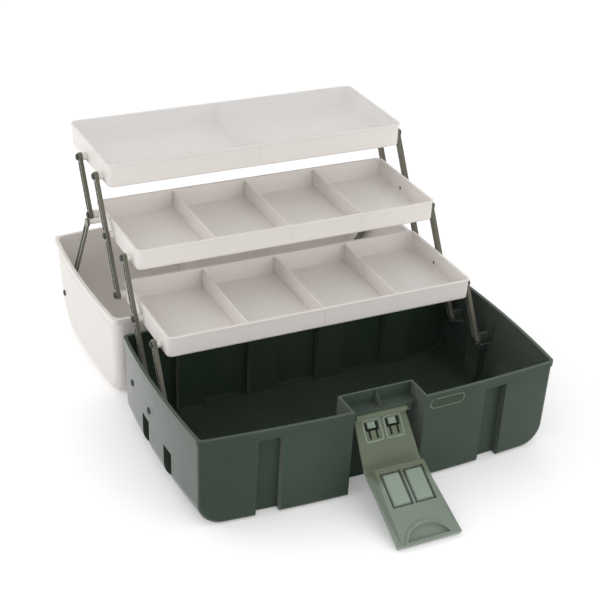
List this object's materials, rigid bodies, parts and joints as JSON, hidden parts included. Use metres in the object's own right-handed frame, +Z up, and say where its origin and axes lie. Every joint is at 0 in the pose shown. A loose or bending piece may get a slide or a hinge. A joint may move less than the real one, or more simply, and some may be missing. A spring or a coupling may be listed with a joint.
{
  "type": "tackle cabinet",
  "caption": "Portable tackle cabinet with a hinged lid that swings back and raises stacked cantilever trays, a front drop latch and a carrying handle.",
  "frame": {"origin": "middle of the base between its rim corners, on the surface that it stands on", "axes": "+X to the right along the front, +Y to the back, where the open lid lies, +Z up"},
  "size_m": [0.454, 0.6228, 0.2766],
  "materials": {
    "green_plastic": "satin moulded",
    "milky_plastic": "translucent moulded",
    "dark_pins": "moulded",
    "steel_rod": "drawn",
    "clear_sheet": "clear sheet"
  },
  "bodies": {
    "base": {"base_shell": "green_plastic", "base_arm_pins": "dark_pins", "latch_hinge_pin": "steel_rod", "hinge_rods": "steel_rod"},
    "lid": {"lid_shell": "milky_plastic", "lid_link_pins": "dark_pins", "handle_pins": "steel_rod"},
    "handle": {"handle": "green_plastic"},
    "latch": {"latch": "green_plastic"},
    "lower_tray": {"lower_tray": "milky_plastic", "lower_tray_pins": "dark_pins", "lower_tray_divider_1": "milky_plastic", "lower_tray_divider_2": "milky_plastic", "lower_tray_divider_3": "milky_plastic"},
    "middle_tray": {"middle_tray": "milky_plastic", "middle_tray_pins": "dark_pins", "middle_tray_divider_1": "milky_plastic", "middle_tray_divider_2": "milky_plastic", "middle_tray_divider_3": "milky_plastic"},
    "upper_tray": {"upper_tray": "milky_plastic", "upper_tray_pins": "dark_pins", "upper_tray_divider_1": "milky_plastic"},
    "tray_cover": {"tray_cover": "clear_sheet"},
    "front_lower_arms": {"front_lower_arm_left": "green_plastic", "front_lower_arm_right": "green_plastic"},
    "long_lower_arms": {"long_lower_arm_left": "green_plastic", "long_lower_arm_right": "green_plastic"},
    "long_upper_arms": {"long_upper_arm_left": "green_plastic", "long_upper_arm_right": "green_plastic"},
    "rear_upper_arms": {"rear_upper_arm_left": "green_plastic", "rear_upper_arm_right": "green_plastic"},
    "lid_links": {"lid_link_left": "green_plastic", "lid_link_right": "green_plastic"}
  },
  "joints": [
    {"name": "lid_hinge", "type": "hinge", "parent": "base", "child": "lid", "pos_m": [0, 0.1315, 0.1149], "axis": [1, 0, 0], "range_deg": [0, 180]},
    {"name": "handle_fold", "type": "hinge", "parent": "lid", "child": "handle", "pos_m": [0, 0.2641, 0.0052], "axis": [-1, 0, 0], "range_deg": [0, 90]},
    {"name": "latch_swing", "type": "hinge", "parent": "base", "child": "latch", "pos_m": [0, -0.107, 0.0905], "axis": [-1, 0, 0], "range_deg": [0, 140.5]},
    {"name": "long_lower_arm_swing", "type": "hinge", "parent": "base", "child": "long_lower_arms", "pos_m": [0, 0.0814, 0.06907], "axis": [1, 0, 0], "range_deg": [0, 97.07]},
    {"name": "lower_tray_level", "type": "hinge", "parent": "long_lower_arms", "child": "lower_tray", "pos_m": [0, 0.1177, 0.1307], "axis": [1, 0, 0], "range_deg": [-97.07, 0]},
    {"name": "front_lower_arm_swing", "type": "hinge", "parent": "lower_tray", "child": "front_lower_arms", "pos_m": [0, 0.0567, 0.1307], "axis": [1, 0, 0], "range_deg": [0, 97.07]},
    {"name": "long_upper_arm_swing", "type": "hinge", "parent": "lower_tray", "child": "long_upper_arms", "pos_m": [0, 0.1787, 0.1307], "axis": [1, 0, 0], "range_deg": [0, 97.07]},
    {"name": "middle_tray_level", "type": "hinge", "parent": "long_upper_arms", "child": "middle_tray", "pos_m": [0, 0.215, 0.19233], "axis": [1, 0, 0], "range_deg": [-97.07, 0]},
    {"name": "rear_upper_arm_swing", "type": "hinge", "parent": "middle_tray", "child": "rear_upper_arms", "pos_m": [0, 0.276, 0.19233], "axis": [1, 0, 0], "range_deg": [0, 97.07]},
    {"name": "upper_tray_level", "type": "hinge", "parent": "long_upper_arms", "child": "upper_tray", "pos_m": [0, 0.2513, 0.25395], "axis": [1, 0, 0], "range_deg": [-97.07, 0]},
    {"name": "lid_link_swing", "type": "hinge", "parent": "lid", "child": "lid_links", "pos_m": [0, 0.34922, 0.049], "axis": [1, 0, 0], "range_deg": [0, 37.54]},
    {"name": "cover_lift", "type": "slide", "parent": "upper_tray", "child": "tray_cover", "axis": [0, 0, 1], "range_m": [0, 0.008]}
  ],
  "couplings": [
    {"joint": "long_lower_arm_swing", "follows": "lid_hinge", "ratio": 0.53899},
    {"joint": "lower_tray_level", "follows": "lid_hinge", "ratio": -0.53899},
    {"joint": "front_lower_arm_swing", "follows": "lid_hinge", "ratio": 0.53899},
    {"joint": "long_upper_arm_swing", "follows": "lid_hinge", "ratio": 0.53899},
    {"joint": "middle_tray_level", "follows": "lid_hinge", "ratio": -0.53899},
    {"joint": "rear_upper_arm_swing", "follows": "lid_hinge", "ratio": 0.53899},
    {"joint": "upper_tray_level", "follows": "lid_hinge", "ratio": -0.53899},
    {"joint": "lid_link_swing", "follows": "lid_hinge", "ratio": 0.20825}
  ]
}
